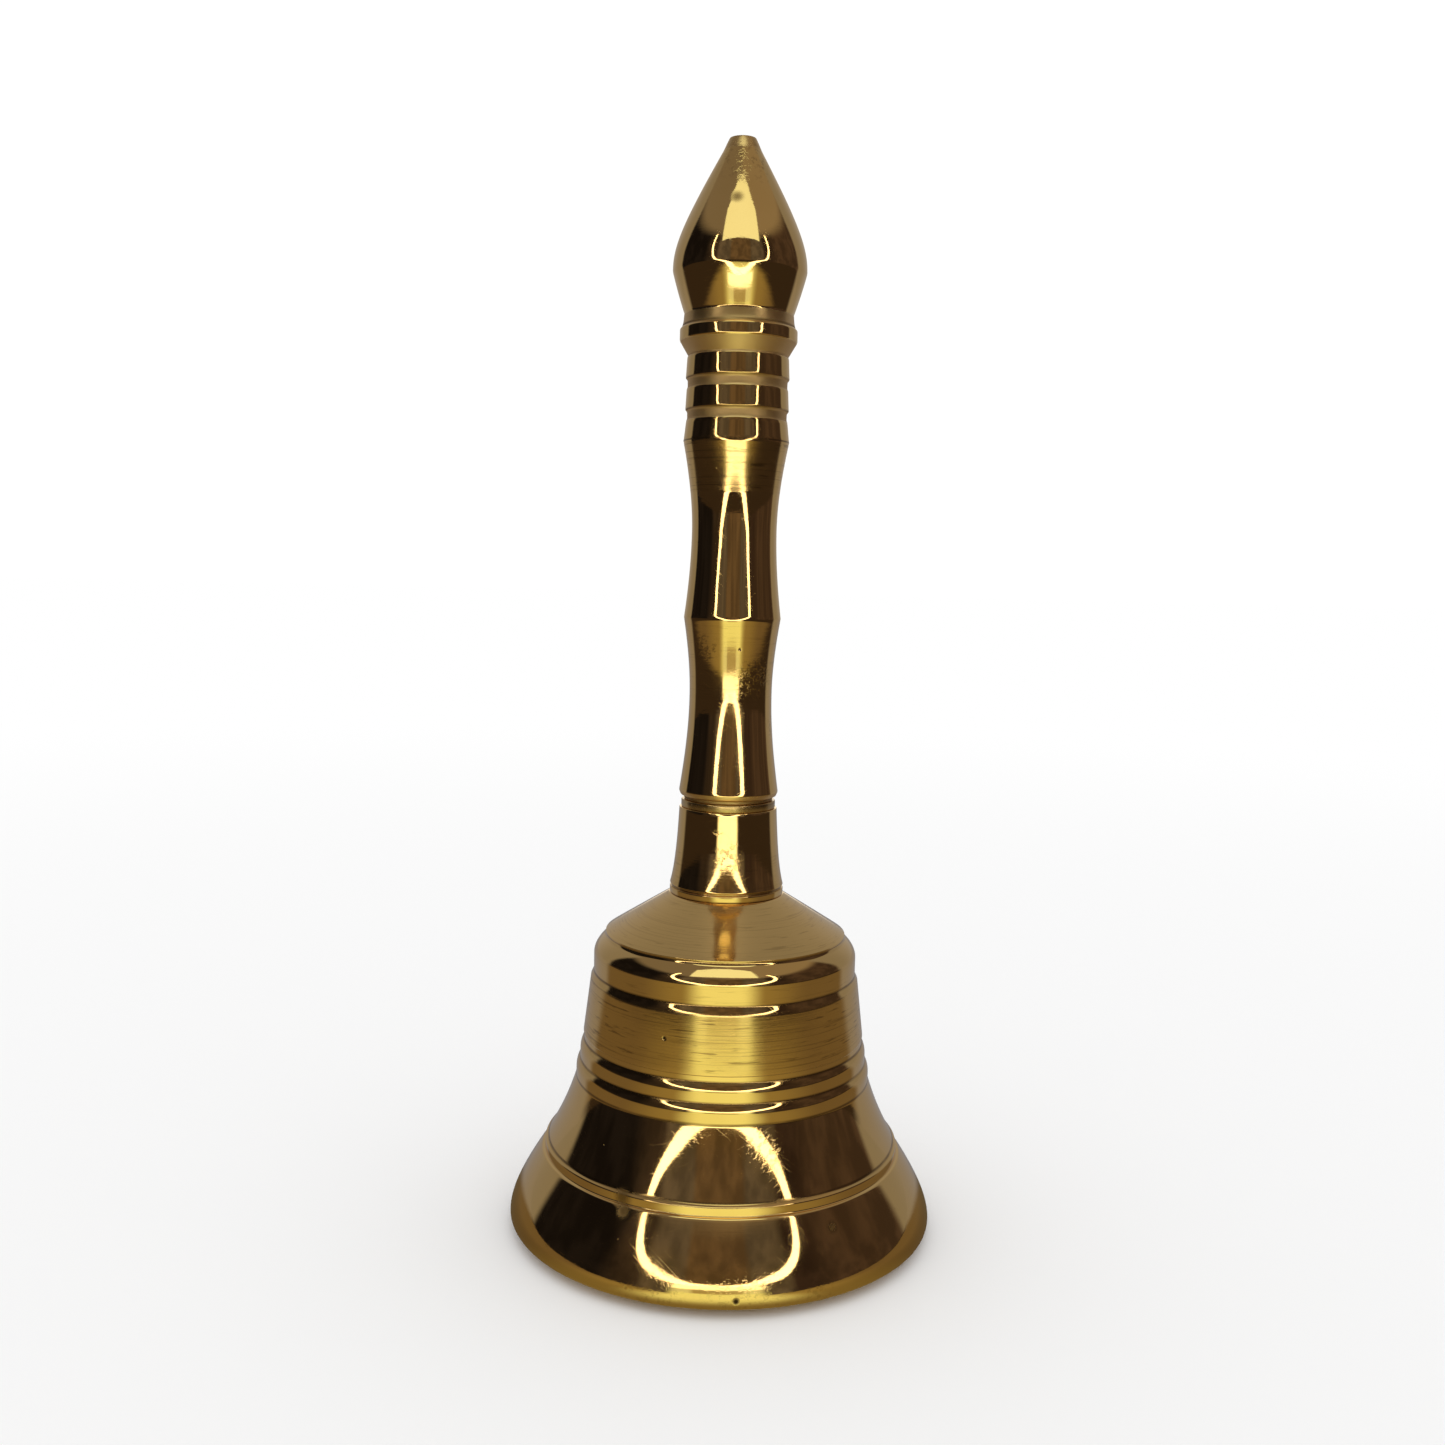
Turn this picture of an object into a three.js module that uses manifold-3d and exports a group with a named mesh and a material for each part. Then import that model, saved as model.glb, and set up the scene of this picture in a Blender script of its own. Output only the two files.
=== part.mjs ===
// Brass puja hand bell: a cast and turned cup, a neck collar and a turned handle with a
// bud finial, drawn together by one eye bolt, with a clapper hung inside the cup.
// Millimetres, +Z up. The origin is the centre of the mouth, on the plane of the rim.

import * as THREE from 'three';
import { mergeVertices } from 'three/addons/utils/BufferGeometryUtils.js';
import Module from 'manifold-3d';

const wasm = await Module();
wasm.setup();

// ---------------------------------------------------------------- driving dimensions

const CUP = {
  height: 47.0, // rim plane to the crown's top face
  mouthRadius: 30.0, // widest place, just above the foot
  widestHeight: 1.2,
  footRadius: 28.4, // outer edge of the flat foot
  footWidth: 1.3,
  footBevel: 0.2, // height at which the foot's bevel turns up
  lipHeight: 10.3, // top of the convex lip
  lipTopRadius: 25.5,
  lipFullness: 1.0, // how far the lip's curve swells past its chord
  flareTopRadius: 20.85,
  flareHollow: 0.3, // how far the flare's curve sinks inside its chord
  bandFootRadius: 19.8, // plain band, at its foot
  bandTopRadius: 18.95, // plain band, at its top
  bandHeight: 8.0,
  ledgeHeight: 0.85,
  throatRadius: 18.55, // narrow band above the ledge
  throatHeight: 2.45,
  shoulderBeadHeight: 2.55,
  shoulderRadius: 17.0, // outer edge of the domed shoulder
  shoulderRise: 5.6, // shoulder's edge to the crown's top face
  shoulderRounding: 1.4, // how far the shoulder's edge is rolled over
  shoulderFullness: 0.7, // how high it stands where it rolls over
  wall: 2.4,
  lipThickness: 2.8,
  crownThickness: 3.0,
};
const LIP_LINE = { height: 1.5, radius: 25.0, step: 0.3 }; // raised line above the lip
const WAIST_LINE = { height: 1.0, count: 2 }; // each upright line has a bead above it
const WAIST_BEAD = { height: 1.65, inset: 0.53, fullness: 0.14 };
const TOP_LINE_HEIGHT = 0.9; // the last upright line, under the plain band
const SHOULDER_LINE = { height: 0.6, depth: 0.25 }; // fine groove under the shoulder

const COLLAR = {
  height: 12.2,
  footRadius: 8.0,
  topRadius: 6.85,
  hollow: 0.18,
  footRingHeight: 0.9,
  grooveHeight: 0.4,
  grooveDepth: 0.25,
};
const HANDLE_WASHER = { thickness: 1.1, radius: 6.6 };

const HANDLE = {
  length: 89.7, // foot to the tip of the bud
  footRadius: 6.95,
  footBevel: 1.2,
  footInset: 0.3,
  lowerGrip: 24.2, // foot bevel to the ridge
  lowerWaistRadius: 5.74,
  ridgeRadius: 6.75,
  upperWaistRadius: 5.88,
  gripTopRadius: 7.28,
  waistRounding: 0.35, // how gently a waist turns from one slope to the other
};
const RING = { count: 3, height: 2.7, hollow: 1.55, radius: 7.15, taper: 0.22 };
const COLLARET = { height: 1.7, radius: 8.05, flare: 0.6, groove: 0.7, grooveDepth: 0.35 };
const BUD = {
  height: 24.5,
  baseRadius: 7.9,
  swellHeight: 8.3, // base to the widest place
  widestRadius: 9.15,
  slope: 0.6, // radius lost for each millimetre of height on the cone
  rounding: 3.2, // how gently the widest place turns into the cone
  tipHeight: 1.6,
};

const STUD = { radius: 2.5, thread: 13.0, chamfer: 0.6, tail: 1.5 };
const EYE = { ringRadius: 3.4, wire: 1.2 };
const NUT = { acrossFlats: 8.0, height: 3.0, chamfer: 0.5 };
const CROWN_WASHER = { radius: 6.0, thickness: 1.0 };
const LINK = { ringRadius: 3.6, wire: 0.9 };
const SHANK = { eyeRadius: 2.6, eyeWire: 0.9, radius: 1.6, shoulder: 2.3, headHeight: 0.8 };
const BALL = { radius: 5.5, height: 11.0 }; // centre of the ball above the rim

const HOLE_GAP = 0.2; // stud in a plain hole, and shank in the ball
const THREAD_GAP = 0.15; // stud in the nut and in the handle
const HANG_GAP = 0.1; // between two wires where one hangs on the other
const BLIND_GAP = 1.0; // stud's end to the bottom of the handle's hole
const SEAT_MARGIN = 0.6; // flat ceiling beyond the washer's edge

// round pieces: facets around the axis
const FACETS = { cup: 48, handle: 36, small: 24, wire: 10, ring: 24 };

// ---------------------------------------------------------------- levels up the axis

const lipLineTop = CUP.lipHeight + LIP_LINE.height;
const shoulderLevel = CUP.height - CUP.shoulderRise;
const shoulderBeadTop = shoulderLevel - SHOULDER_LINE.height;
const throatTop = shoulderBeadTop - CUP.shoulderBeadHeight;
const ledgeTop = throatTop - CUP.throatHeight;
const bandTop = ledgeTop - CUP.ledgeHeight;
const bandFoot = bandTop - CUP.bandHeight;
const waistPitch = WAIST_LINE.height + WAIST_BEAD.height;
const flareTop = bandFoot - TOP_LINE_HEIGHT - WAIST_LINE.count * waistPitch;
const ceiling = CUP.height - CUP.crownThickness;

const collarTop = CUP.height + COLLAR.height;
const handleFoot = collarTop + HANDLE_WASHER.thickness;
const ridgeLevel = handleFoot + HANDLE.footBevel + HANDLE.lowerGrip;
const handleTip = handleFoot + HANDLE.length;
const budBase = handleTip - BUD.height;
const collaretTop = budBase - COLLARET.groove;
const collaretFoot = collaretTop - COLLARET.height;
const ringPitch = RING.height + RING.hollow;
const gripTop = collaretFoot - COLLARET.flare - RING.count * ringPitch;

const washerLevel = ceiling - CROWN_WASHER.thickness;
const nutLevel = washerLevel - NUT.height;
const studFoot = nutLevel - STUD.tail;
const studTop = handleFoot + STUD.thread;
const eyeLevel = studFoot - EYE.ringRadius;
const linkTopWire = eyeLevel - EYE.ringRadius + EYE.wire + HANG_GAP + LINK.wire;
const linkLevel = linkTopWire - LINK.ringRadius;
const shankTopWire = linkLevel - LINK.ringRadius + LINK.wire + HANG_GAP + SHANK.eyeWire;
const shankEyeLevel = shankTopWire - SHANK.eyeRadius;

// ---------------------------------------------------------------- drawing helpers

// Half of a section through the axis, drawn from point to point as (radius, height).
class Outline {
  constructor(radius, height) {
    this.points = [new THREE.Vector2(radius, height)];
  }

  get end() {
    return this.points[this.points.length - 1];
  }

  line(radius, height) {
    this.points.push(new THREE.Vector2(radius, height));
    return this;
  }

  // a curve that leaves towards the corner and arrives from it
  curve(cornerRadius, cornerHeight, radius, height, steps) {
    const corner = new THREE.Vector2(cornerRadius, cornerHeight);
    const target = new THREE.Vector2(radius, height);
    const bend = new THREE.QuadraticBezierCurve(this.end, corner, target);
    this.points.push(...bend.getPoints(steps).slice(1));
    return this;
  }

  // a curve whose middle stands off its chord: out for a swell, negative for a hollow
  swell(radius, height, offset, steps) {
    const start = this.end;
    const middle = new THREE.Vector2(start.x + radius, start.y + height).multiplyScalar(0.5);
    const along = new THREE.Vector2(radius - start.x, height - start.y).normalize();
    const corner = middle.add(new THREE.Vector2(along.y, -along.x).multiplyScalar(2 * offset));
    return this.curve(corner.x, corner.y, radius, height, steps);
  }

  // radius given as a function of height
  trace(radiusAt, height, steps) {
    const start = this.end.y;
    for (let i = 1; i <= steps; i += 1) {
      const level = start + ((height - start) * i) / steps;
      this.line(radiusAt(level), level);
    }
    return this;
  }
}

// A turned solid. The outline either closes on itself or starts and ends on the axis.
function turned(outline, facets) {
  const geometry = new THREE.LatheGeometry(outline.points, facets);
  geometry.rotateX(Math.PI / 2);
  return geometry;
}

function toSolid(geometry) {
  const bare = geometry.clone();
  bare.deleteAttribute('normal');
  bare.deleteAttribute('uv');
  const merged = mergeVertices(bare, 1e-4);
  const corners = merged.index.array;
  const kept = [];
  for (let i = 0; i < corners.length; i += 3) {
    const [a, b, c] = corners.slice(i, i + 3);
    if (a !== b && b !== c && c !== a) kept.push(a, b, c);
  }
  return new wasm.Manifold(new wasm.Mesh({
    numProp: 3,
    vertProperties: merged.attributes.position.array,
    triVerts: new Uint32Array(kept),
  }));
}

function toGeometry(solid) {
  const mesh = solid.getMesh();
  const geometry = new THREE.BufferGeometry();
  geometry.setAttribute('position', new THREE.BufferAttribute(mesh.vertProperties, 3));
  geometry.setIndex(new THREE.BufferAttribute(mesh.triVerts, 1));
  geometry.computeVertexNormals();
  return geometry;
}

// A round flat piece with a hole down its axis.
function washerShape(level, thickness, radius, bore) {
  return new Outline(bore, level)
    .line(radius, level)
    .line(radius, level + thickness)
    .line(bore, level + thickness)
    .line(bore, level);
}

// Hyperbola-like blend: zero at the middle, then rising towards a straight slope.
function easedSlope(rounding, slope, distance) {
  return Math.hypot(rounding, slope * distance) - rounding;
}

// Radius of a waisted grip between two ends; each side meets its own end radius.
function waistRadius(waist, foot, top, footRadius, topRadius) {
  const middle = (foot + top) / 2;
  const slopeTo = (radius) => {
    const gain = radius - waist + HANDLE.waistRounding;
    return Math.sqrt(gain ** 2 - HANDLE.waistRounding ** 2) / ((top - foot) / 2);
  };
  return (level) => {
    const slope = slopeTo(level < middle ? footRadius : topRadius);
    return waist + easedSlope(HANDLE.waistRounding, slope, level - middle);
  };
}

function mesh(name, geometry, material) {
  const node = new THREE.Mesh(geometry, material);
  node.name = name;
  return node;
}

// ---------------------------------------------------------------- materials

const polishedBrass = new THREE.MeshStandardMaterial({
  color: 0xc99a3c, roughness: 0.12, metalness: 1.0,
});
const dullBrass = new THREE.MeshStandardMaterial({
  color: 0xa98436, roughness: 0.38, metalness: 1.0,
});
const steel = new THREE.MeshStandardMaterial({
  color: 0x9a9894, roughness: 0.35, metalness: 1.0,
});

// ---------------------------------------------------------------- cup

function cupOutline() {
  const crownBore = STUD.radius + HOLE_GAP;
  const outline = new Outline(CUP.footRadius - CUP.footWidth, 0);

  // foot and convex lip
  outline.line(CUP.footRadius, 0)
    .curve(CUP.mouthRadius, CUP.footBevel, CUP.mouthRadius, CUP.widestHeight, 4)
    .curve(
      CUP.mouthRadius,
      CUP.widestHeight + 2 * CUP.lipFullness,
      CUP.lipTopRadius,
      CUP.lipHeight,
      7,
    );

  // raised line, then the hollow flare
  const flareFootRadius = LIP_LINE.radius - LIP_LINE.step;
  outline.line(LIP_LINE.radius + LIP_LINE.step / 3, CUP.lipHeight + LIP_LINE.step / 2)
    .line(LIP_LINE.radius, lipLineTop - LIP_LINE.step / 2)
    .line(flareFootRadius, lipLineTop)
    .swell(CUP.flareTopRadius, flareTop, -CUP.flareHollow, 6);

  // upright lines with a bead above each
  for (let i = 0; i < WAIST_LINE.count; i += 1) {
    const lineTop = outline.end.y + WAIST_LINE.height;
    const beadRadius = outline.end.x - WAIST_BEAD.inset;
    const beadTop = lineTop + WAIST_BEAD.height;
    outline.line(outline.end.x, lineTop)
      .swell(beadRadius, beadTop, WAIST_BEAD.fullness, 3);
  }

  // plain band, ledge, throat and shoulder bead
  outline.line(outline.end.x, bandFoot)
    .line(CUP.bandFootRadius, bandFoot)
    .line(CUP.bandTopRadius, bandTop)
    .line(CUP.throatRadius, ledgeTop)
    .line(CUP.throatRadius, throatTop)
    .curve(
      CUP.throatRadius,
      (throatTop + shoulderBeadTop) / 2,
      CUP.shoulderRadius,
      shoulderBeadTop,
      4,
    );

  // fine groove, then the domed shoulder up to the collar's seat
  const grooveLevel = (shoulderBeadTop + shoulderLevel) / 2;
  outline.line(CUP.shoulderRadius - SHOULDER_LINE.depth, grooveLevel)
    .line(CUP.shoulderRadius, shoulderLevel)
    .curve(
      CUP.shoulderRadius - CUP.shoulderRounding,
      shoulderLevel + CUP.shoulderFullness,
      COLLAR.footRadius,
      CUP.height,
      7,
    );

  // crown hole, ceiling, inner dome and inner wall
  outline.line(crownBore, CUP.height)
    .line(crownBore, ceiling)
    .line(CROWN_WASHER.radius + SEAT_MARGIN, ceiling)
    .curve(
      CUP.shoulderRadius - CUP.wall,
      ceiling - CUP.wall / 2,
      CUP.throatRadius - CUP.wall,
      ledgeTop,
      6,
    )
    .line(CUP.bandFootRadius - CUP.wall, bandFoot)
    .line(CUP.flareTopRadius - CUP.wall, flareTop)
    .swell(flareFootRadius - CUP.wall, lipLineTop, CUP.flareHollow, 4)
    .line(CUP.mouthRadius - CUP.lipThickness, CUP.widestHeight)
    .line(CUP.footRadius - CUP.footWidth, 0);
  return outline;
}

// ---------------------------------------------------------------- collar and handle

function collarOutline() {
  const bore = STUD.radius + HOLE_GAP;
  const ringTop = CUP.height + COLLAR.footRingHeight;
  const grooveTop = ringTop + COLLAR.grooveHeight;
  return new Outline(bore, CUP.height)
    .line(COLLAR.footRadius, CUP.height)
    .line(COLLAR.footRadius, ringTop)
    .line(COLLAR.footRadius - COLLAR.grooveDepth, ringTop)
    .line(COLLAR.footRadius - COLLAR.grooveDepth, grooveTop)
    .line(COLLAR.footRadius, grooveTop)
    .swell(COLLAR.topRadius, collarTop, -COLLAR.hollow, 5)
    .line(bore, collarTop)
    .line(bore, CUP.height);
}

function handleOutline() {
  const bore = STUD.radius + THREAD_GAP;
  const holeEnd = studTop + BLIND_GAP;
  const bevelTop = handleFoot + HANDLE.footBevel;
  const outline = new Outline(0, holeEnd)
    .line(bore, holeEnd)
    .line(bore, handleFoot)
    .line(HANDLE.footRadius - HANDLE.footInset, handleFoot)
    .line(HANDLE.footRadius, bevelTop);

  // two waists that meet at the ridge
  const { footRadius, ridgeRadius, gripTopRadius } = HANDLE;
  outline
    .trace(
      waistRadius(HANDLE.lowerWaistRadius, bevelTop, ridgeLevel, footRadius, ridgeRadius),
      ridgeLevel,
      10,
    )
    .trace(
      waistRadius(HANDLE.upperWaistRadius, ridgeLevel, gripTop, ridgeRadius, gripTopRadius),
      gripTop,
      10,
    );

  // tapered rings, each with a hollow above it that opens out again
  for (let i = 0; i < RING.count; i += 1) {
    const ringTop = gripTop + i * ringPitch + RING.height;
    outline.line(RING.radius - RING.taper, ringTop)
      .line(RING.radius, ringTop + RING.hollow);
  }

  // collaret, groove and bud
  outline.line(COLLARET.radius, collaretFoot)
    .line(COLLARET.radius, collaretTop)
    .line(COLLARET.radius - COLLARET.grooveDepth, (collaretTop + budBase) / 2)
    .line(BUD.baseRadius, budBase);
  const widest = budBase + BUD.swellHeight;
  const swellBy = BUD.widestRadius - BUD.baseRadius;
  const swellAt = (level) => (1 - Math.cos((Math.PI * (level - budBase)) / BUD.swellHeight)) / 2;
  outline
    .trace((level) => BUD.baseRadius + swellBy * swellAt(level), widest, 6)
    .trace(
      (level) => BUD.widestRadius - easedSlope(BUD.rounding, BUD.slope, level - widest),
      handleTip - BUD.tipHeight,
      8,
    );
  const tipRadius = outline.end.x;
  return outline.curve(tipRadius - BUD.slope * BUD.tipHeight, handleTip, 0, handleTip, 4);
}

// ---------------------------------------------------------------- eye bolt and nut

// A ring of round wire standing upright, in the XZ plane or, when turned, in the YZ plane.
function wireRing(radius, wire, level, acrossX) {
  const geometry = new THREE.TorusGeometry(radius, wire, FACETS.wire, FACETS.ring);
  geometry.rotateX(Math.PI / 2);
  if (acrossX) geometry.rotateZ(Math.PI / 2);
  geometry.translate(0, 0, level);
  return geometry;
}

function eyeBolt() {
  const { radius, chamfer } = STUD;
  const stud = new Outline(0, studFoot)
    .line(radius - chamfer, studFoot)
    .line(radius, studFoot + chamfer)
    .line(radius, studTop - chamfer)
    .line(radius - chamfer, studTop)
    .line(0, studTop);
  const eye = wireRing(EYE.ringRadius, EYE.wire, eyeLevel, false);
  return toGeometry(toSolid(turned(stud, FACETS.small)).add(toSolid(eye)));
}

function crownNut() {
  const cornerRadius = NUT.acrossFlats / Math.sqrt(3);
  const hexagon = new THREE.Shape();
  for (let i = 0; i < 6; i += 1) {
    const angle = (i * Math.PI) / 3;
    hexagon[i ? 'lineTo' : 'moveTo'](cornerRadius * Math.cos(angle), cornerRadius * Math.sin(angle));
  }
  hexagon.closePath();
  const prism = new THREE.ExtrudeGeometry(hexagon, { depth: NUT.height, bevelEnabled: false });
  prism.translate(0, 0, nutLevel);

  // the turned blank rounds the hexagon's lower corners and carries the bore
  const flatRadius = NUT.acrossFlats / 2;
  const bore = STUD.radius + THREAD_GAP;
  const blank = new Outline(bore, nutLevel)
    .line(flatRadius, nutLevel)
    .line(cornerRadius, nutLevel + NUT.chamfer)
    .line(cornerRadius, nutLevel + NUT.height)
    .line(bore, nutLevel + NUT.height)
    .line(bore, nutLevel);
  return toGeometry(toSolid(prism).intersect(toSolid(turned(blank, FACETS.small))));
}

// ---------------------------------------------------------------- clapper

function clapperShank() {
  const foot = BALL.height - BALL.radius - SHANK.headHeight;
  const seat = BALL.height - BALL.radius;
  const shoulder = BALL.height + BALL.radius;
  const top = shankEyeLevel - SHANK.eyeRadius;
  const rod = new Outline(0, foot)
    .line(SHANK.radius, foot)
    .line(SHANK.shoulder, seat - SHANK.headHeight / 3)
    .line(SHANK.shoulder, seat)
    .line(SHANK.radius, seat)
    .line(SHANK.radius, shoulder)
    .line(SHANK.shoulder, shoulder)
    .line(SHANK.radius, shoulder + SHANK.shoulder)
    .line(SHANK.radius, top)
    .line(0, top);
  const eye = wireRing(SHANK.eyeRadius, SHANK.eyeWire, shankEyeLevel, false);
  return toGeometry(toSolid(turned(rod, FACETS.small)).add(toSolid(eye)));
}

// A ball with a hole down its axis, flat where it meets the shank's shoulder and head.
function ballOutline() {
  const bore = SHANK.radius + HOLE_GAP;
  const flatRadius = SHANK.shoulder;
  const outline = new Outline(bore, BALL.height - BALL.radius)
    .line(flatRadius, BALL.height - BALL.radius);
  const steps = 10;
  const startAngle = Math.asin(flatRadius / BALL.radius);
  for (let i = 1; i < steps; i += 1) {
    const angle = startAngle + ((Math.PI - 2 * startAngle) * i) / steps;
    outline.line(BALL.radius * Math.sin(angle), BALL.height - BALL.radius * Math.cos(angle));
  }
  return outline.line(flatRadius, BALL.height + BALL.radius)
    .line(bore, BALL.height + BALL.radius)
    .line(bore, BALL.height - BALL.radius);
}

// ---------------------------------------------------------------- assembly

const bell = new THREE.Group();

bell.add(mesh('bell_cup', turned(cupOutline(), FACETS.cup), polishedBrass));
bell.add(mesh('neck_collar', turned(collarOutline(), FACETS.handle), polishedBrass));
bell.add(mesh('handle', turned(handleOutline(), FACETS.handle), polishedBrass));

const studHole = STUD.radius + HOLE_GAP;
const handleWasher = washerShape(
  collarTop, HANDLE_WASHER.thickness, HANDLE_WASHER.radius, studHole,
);
const crownWasher = washerShape(
  washerLevel, CROWN_WASHER.thickness, CROWN_WASHER.radius, studHole,
);
bell.add(mesh('handle_washer', turned(handleWasher, FACETS.handle), dullBrass));
bell.add(mesh('crown_washer', turned(crownWasher, FACETS.small), steel));
bell.add(mesh('crown_nut', crownNut(), steel));
bell.add(mesh('eye_bolt', eyeBolt(), steel));

const link = wireRing(LINK.ringRadius, LINK.wire, linkLevel, true);
bell.add(mesh('clapper_link', link, steel));
bell.add(mesh('clapper_shank', clapperShank(), dullBrass));
bell.add(mesh('clapper_ball', turned(ballOutline(), FACETS.small), dullBrass));

export default bell;
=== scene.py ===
"""Polished brass puja hand bell: the fine pieces, their metal finishes and the studio.

Heights and radii are in millimetres while a piece is drawn, and metres in its mesh.
"""
import math

import bpy
from mathutils import Matrix, Vector


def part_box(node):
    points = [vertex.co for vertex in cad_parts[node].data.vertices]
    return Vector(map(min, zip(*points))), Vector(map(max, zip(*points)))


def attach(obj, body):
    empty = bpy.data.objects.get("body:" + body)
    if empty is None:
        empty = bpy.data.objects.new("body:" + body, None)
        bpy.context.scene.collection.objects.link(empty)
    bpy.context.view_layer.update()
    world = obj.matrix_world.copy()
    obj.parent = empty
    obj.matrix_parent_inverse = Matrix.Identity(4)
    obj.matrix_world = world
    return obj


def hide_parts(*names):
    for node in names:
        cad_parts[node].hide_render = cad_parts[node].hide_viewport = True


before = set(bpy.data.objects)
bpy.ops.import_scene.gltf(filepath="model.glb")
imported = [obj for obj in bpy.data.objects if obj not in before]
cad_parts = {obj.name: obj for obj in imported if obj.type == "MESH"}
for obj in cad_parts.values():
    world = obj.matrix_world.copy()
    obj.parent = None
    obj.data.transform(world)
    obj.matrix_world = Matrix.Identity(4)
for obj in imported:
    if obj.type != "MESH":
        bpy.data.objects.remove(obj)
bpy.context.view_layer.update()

MM = 0.001
MERGE_WITHIN = 2e-6      # metres
SHORTEST_STEP = 1e-5     # millimetres
AXIS_UP = (0.0, 0.0, 1.0)
AXIS_ACROSS = (1.0, 0.0, 0.0)
AXIS_DEEP = (0.0, 1.0, 0.0)
FULL_TURN = 2 * math.pi


# ------------------------------------------------------------------ drawing an outline

class Outline:
    """Half of a section through the axis, drawn from point to point as (radius, height)."""

    def __init__(self, radius, height):
        self.points = [Vector((radius, height))]

    def line(self, radius, height):
        self.points.append(Vector((radius, height)))
        return self

    def curve(self, corner_radius, corner_height, radius, height, steps=12):
        """A curve that leaves towards the corner and arrives from it."""
        start, end = self.points[-1], Vector((radius, height))
        corner = Vector((corner_radius, corner_height))
        for i in range(1, steps + 1):
            t = i / steps
            self.points.append((1 - t) ** 2 * start + 2 * t * (1 - t) * corner + t * t * end)
        return self

    def swell(self, radius, height, offset, steps=12):
        """A curve whose middle stands off its chord: out for a swell, negative for a hollow."""
        start, end = self.points[-1], Vector((radius, height))
        along = (end - start).normalized()
        corner = (start + end) / 2 + Vector((along.y, -along.x)) * 2 * offset
        return self.curve(corner.x, corner.y, radius, height, steps)

    def trace(self, radius_at, height, steps):
        """Runs up or down with the radius that radius_at gives for each height."""
        start = self.points[-1].y
        for i in range(1, steps + 1):
            level = start + (height - start) * i / steps
            self.line(radius_at(level), level)
        return self

    def soften(self, size, sharp=22.0):
        """Rounds every corner sharper than that many degrees."""
        kept = [self.points[0]]
        for before, here, after in zip(self.points, self.points[1:], self.points[2:]):
            back, ahead = before - here, after - here
            if back.length < SHORTEST_STEP or ahead.length < SHORTEST_STEP:
                continue
            if math.degrees(math.pi - back.angle(ahead)) < sharp:
                kept.append(here)
                continue
            first = here + back.normalized() * min(size, back.length * 0.45)
            last = here + ahead.normalized() * min(size, ahead.length * 0.45)
            for t in (0.0, 0.25, 0.5, 0.75, 1.0):
                kept.append((1 - t) ** 2 * first + 2 * t * (1 - t) * here + t * t * last)
        kept.append(self.points[-1])
        self.points = kept
        return self

    def divide(self, longest):
        """Cuts long straight runs, so that the mesh is even."""
        kept = [self.points[0]]
        for here, after in zip(self.points, self.points[1:]):
            cuts = max(1, math.ceil((after - here).length / longest))
            kept += [here.lerp(after, i / cuts) for i in range(1, cuts + 1)]
        self.points = kept
        return self


# ------------------------------------------------------------------ working in edit mode

def start_afresh():
    """Nothing is selected, and no piece is open."""
    if bpy.context.mode != "OBJECT":
        bpy.ops.object.mode_set(mode="OBJECT")
    bpy.ops.object.select_all(action="DESELECT")


def pick(piece):
    start_afresh()
    piece.select_set(True)
    bpy.context.view_layer.objects.active = piece


def settle(piece):
    """The piece's place goes into its mesh."""
    pick(piece)
    bpy.ops.object.transform_apply(location=True, rotation=True, scale=True)


def select_all():
    bpy.ops.mesh.select_all(action="SELECT")


def merge_doubles():
    select_all()
    bpy.ops.mesh.remove_doubles(threshold=MERGE_WITHIN)


def close_and_turn_out():
    """In edit mode: doubles are merged, holes closed and faces turned outwards."""
    merge_doubles()
    select_all()
    bpy.ops.mesh.fill_holes(sides=0)
    select_all()
    bpy.ops.mesh.normals_make_consistent(inside=False)


def turned(name, outline, steps):
    """A piece turned about the upright axis: one vertex is drawn along the outline, then spun."""
    start_afresh()
    first = outline.points[0]
    bpy.ops.mesh.primitive_plane_add(size=MM, location=(first.x * MM, 0, first.y * MM))
    piece = bpy.context.object
    piece.name = name
    settle(piece)
    bpy.ops.object.mode_set(mode="EDIT")
    select_all()
    bpy.ops.mesh.merge(type="CENTER")
    here = first
    for point in outline.points[1:]:
        step = point - here
        if step.length < SHORTEST_STEP:
            continue
        bpy.ops.mesh.extrude_vertices_move(
            TRANSFORM_OT_translate={"value": (step.x * MM, 0, step.y * MM)})
        here = point
    merge_doubles()
    select_all()
    bpy.ops.mesh.spin(steps=steps, angle=FULL_TURN, center=(0, 0, 0), axis=AXIS_UP)
    close_and_turn_out()
    bpy.ops.object.mode_set(mode="OBJECT")
    return piece


def bent_wire(name, ring_radius, wire, level, axis, facets=28, steps=96):
    """A closed ring of round wire, standing upright about axis."""
    start_afresh()
    bpy.ops.mesh.primitive_circle_add(vertices=facets, radius=wire * MM, fill_type="NOTHING")
    piece = bpy.context.object
    piece.name = name
    # the wire's section faces along the ring, at the ring's lowest place
    along = Vector((0, 0, -1)).cross(Vector(axis))
    turn = Vector(AXIS_UP).rotation_difference(along).to_matrix().to_4x4()
    place = Vector((0, 0, (level - ring_radius) * MM))
    piece.matrix_world = Matrix.Translation(place) @ turn
    settle(piece)
    bpy.ops.object.mode_set(mode="EDIT")
    select_all()
    bpy.ops.mesh.spin(steps=steps, angle=FULL_TURN, center=(0, 0, level * MM), axis=axis)
    close_and_turn_out()
    bpy.ops.object.mode_set(mode="OBJECT")
    return piece


def modify(piece, kind, **settings):
    pick(piece)
    modifier = piece.modifiers.new(kind.title(), kind)
    for key, value in settings.items():
        setattr(modifier, key, value)
    bpy.ops.object.modifier_apply(modifier=modifier.name)


def join_solid(piece, other, operation="UNION"):
    """One solid made from two; the second is used up."""
    modify(piece, "BOOLEAN", object=other, operation=operation, solver="EXACT")
    bpy.data.objects.remove(other)


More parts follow.
